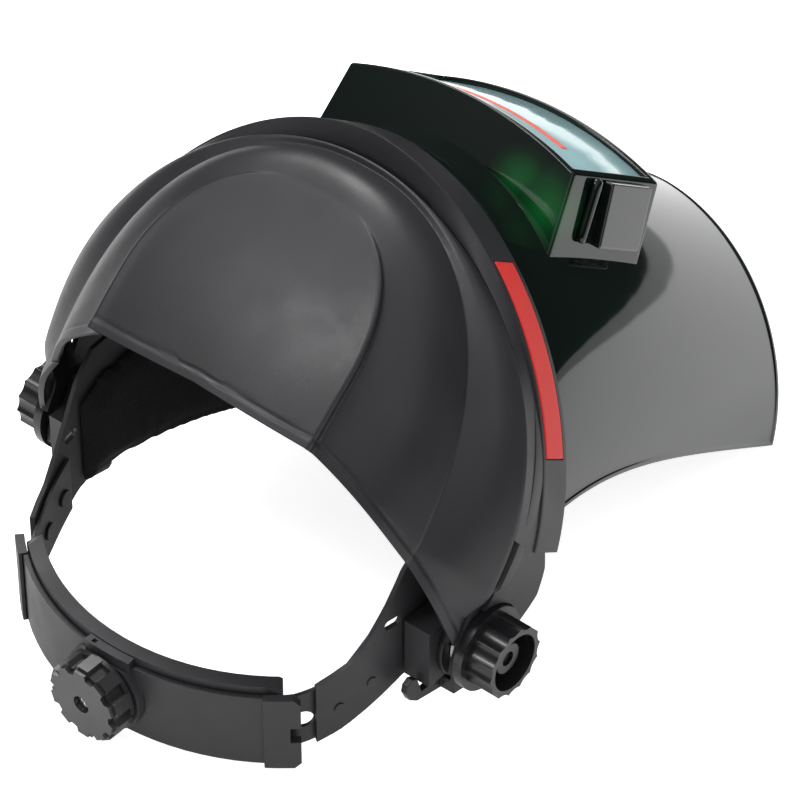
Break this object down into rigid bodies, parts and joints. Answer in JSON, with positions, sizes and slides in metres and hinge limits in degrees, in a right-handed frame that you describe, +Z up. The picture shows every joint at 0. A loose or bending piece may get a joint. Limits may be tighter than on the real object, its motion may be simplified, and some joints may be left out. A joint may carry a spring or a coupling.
{
  "type": "welding face shield",
  "caption": "Flip-up auto-darkening welding shield: brow crown with a wrap-round tinted visor and lens box on a ratchet headband with side tension knobs",
  "frame": {"origin": "the middle of the flip axis, between the two side knobs", "axes": "+Z up, the wearer looks along -Y, +X is the wearer's left; drawn with the shield flipped up"},
  "size_m": [0.2522, 0.3687, 0.2018],
  "materials": {
    "charcoal_plastic": "fine moulded grain, satin highlights",
    "knob_plastic": "semi-gloss moulded",
    "dark_plastic": "smooth moulded",
    "black_plastic": "smooth moulded",
    "sweatband_fabric": "soft foam-backed cloth",
    "washer_plastic": "slippery plain plastic",
    "spring_steel": "rolled spring steel",
    "screw_steel": "bright zinc plated",
    "red_plastic": "semi-gloss moulded",
    "tinted_visor": "polished, nearly black with a green tint",
    "cover_lens_clear": "clear with a pale blue-green cast",
    "inner_lens_clear": "clear polished",
    "filter_glass": "blue-green interference filter",
    "solar_cell": "dark cells under a clear coat",
    "green_board": "printed board"
  },
  "bodies": {
    "headgear": {"headband": "charcoal_plastic", "forehead_pad": "sweatband_fabric", "temple_block_left": "charcoal_plastic", "temple_block_right": "charcoal_plastic", "pivot_stud_left": "dark_plastic", "pivot_stud_right": "dark_plastic", "friction_washer_left": "washer_plastic", "friction_washer_right": "washer_plastic", "rear_strap_left": "charcoal_plastic", "rear_strap_right": "charcoal_plastic", "strap_buttons": "dark_plastic"},
    "mask": {"crown_shell": "charcoal_plastic", "ear_plate_left": "charcoal_plastic", "ear_plate_right": "charcoal_plastic", "red_insert_left": "red_plastic", "red_insert_right": "red_plastic", "visor": "tinted_visor", "visor_pins": "dark_plastic", "cover_lens": "cover_lens_clear", "filter_carrier": "black_plastic", "filter_case": "black_plastic", "filter_glass": "filter_glass", "solar_panel": "solar_cell", "arc_sensors": "black_plastic", "circuit_board": "green_board", "inner_cover_lens": "inner_lens_clear", "lens_clip_left": "black_plastic", "lens_clip_right": "black_plastic"},
    "knob_left": {"side_knob_left": "knob_plastic"},
    "knob_right": {"side_knob_right": "knob_plastic"},
    "lever_left": {"stop_lever_left": "dark_plastic"},
    "lever_right": {"stop_lever_right": "dark_plastic"},
    "cradle": {"cradle_cover": "charcoal_plastic", "cradle_pad": "charcoal_plastic", "cradle_clip_left": "charcoal_plastic", "cradle_clip_right": "charcoal_plastic", "detent_ring": "spring_steel"},
    "ratchet": {"ratchet_pinion": "dark_plastic", "ratchet_knob": "knob_plastic", "ratchet_screw": "screw_steel"}
  },
  "joints": [
    {"name": "mask_flip", "type": "hinge", "parent": "headgear", "child": "mask", "pos_m": [0, 0, 0], "axis": [1, 0, 0], "range_deg": [-8, 56]},
    {"name": "knob_left_turn", "type": "hinge", "parent": "headgear", "child": "knob_left", "pos_m": [0.118, 0, 0], "axis": [1, 0, 0], "range_deg": [-180, 540]},
    {"name": "knob_right_turn", "type": "hinge", "parent": "headgear", "child": "knob_right", "pos_m": [-0.118, 0, 0], "axis": [-1, 0, 0], "range_deg": [-180, 540]},
    {"name": "lever_left_turn", "type": "hinge", "parent": "headgear", "child": "lever_left", "pos_m": [0.102, 0, 0], "axis": [1, 0, 0], "range_deg": [-22, 0]},
    {"name": "lever_right_turn", "type": "hinge", "parent": "headgear", "child": "lever_right", "pos_m": [-0.102, 0, 0], "axis": [1, 0, 0], "range_deg": [-22, 0]},
    {"name": "cradle_slide", "type": "slide", "parent": "headgear", "child": "cradle", "axis": [0, 1, 0], "range_m": [-0.0075, 0.0125], "deforming": ["rear_strap_left", "rear_strap_right"]},
    {"name": "ratchet_turn", "type": "hinge", "parent": "cradle", "child": "ratchet", "pos_m": [0, 0.1, -0.018], "axis": [0, -1, 0], "range_deg": [-199, 120]}
  ],
  "couplings": [
    {"joint": "ratchet_turn", "follows": "cradle_slide", "rad_per_m": -277.78}
  ]
}
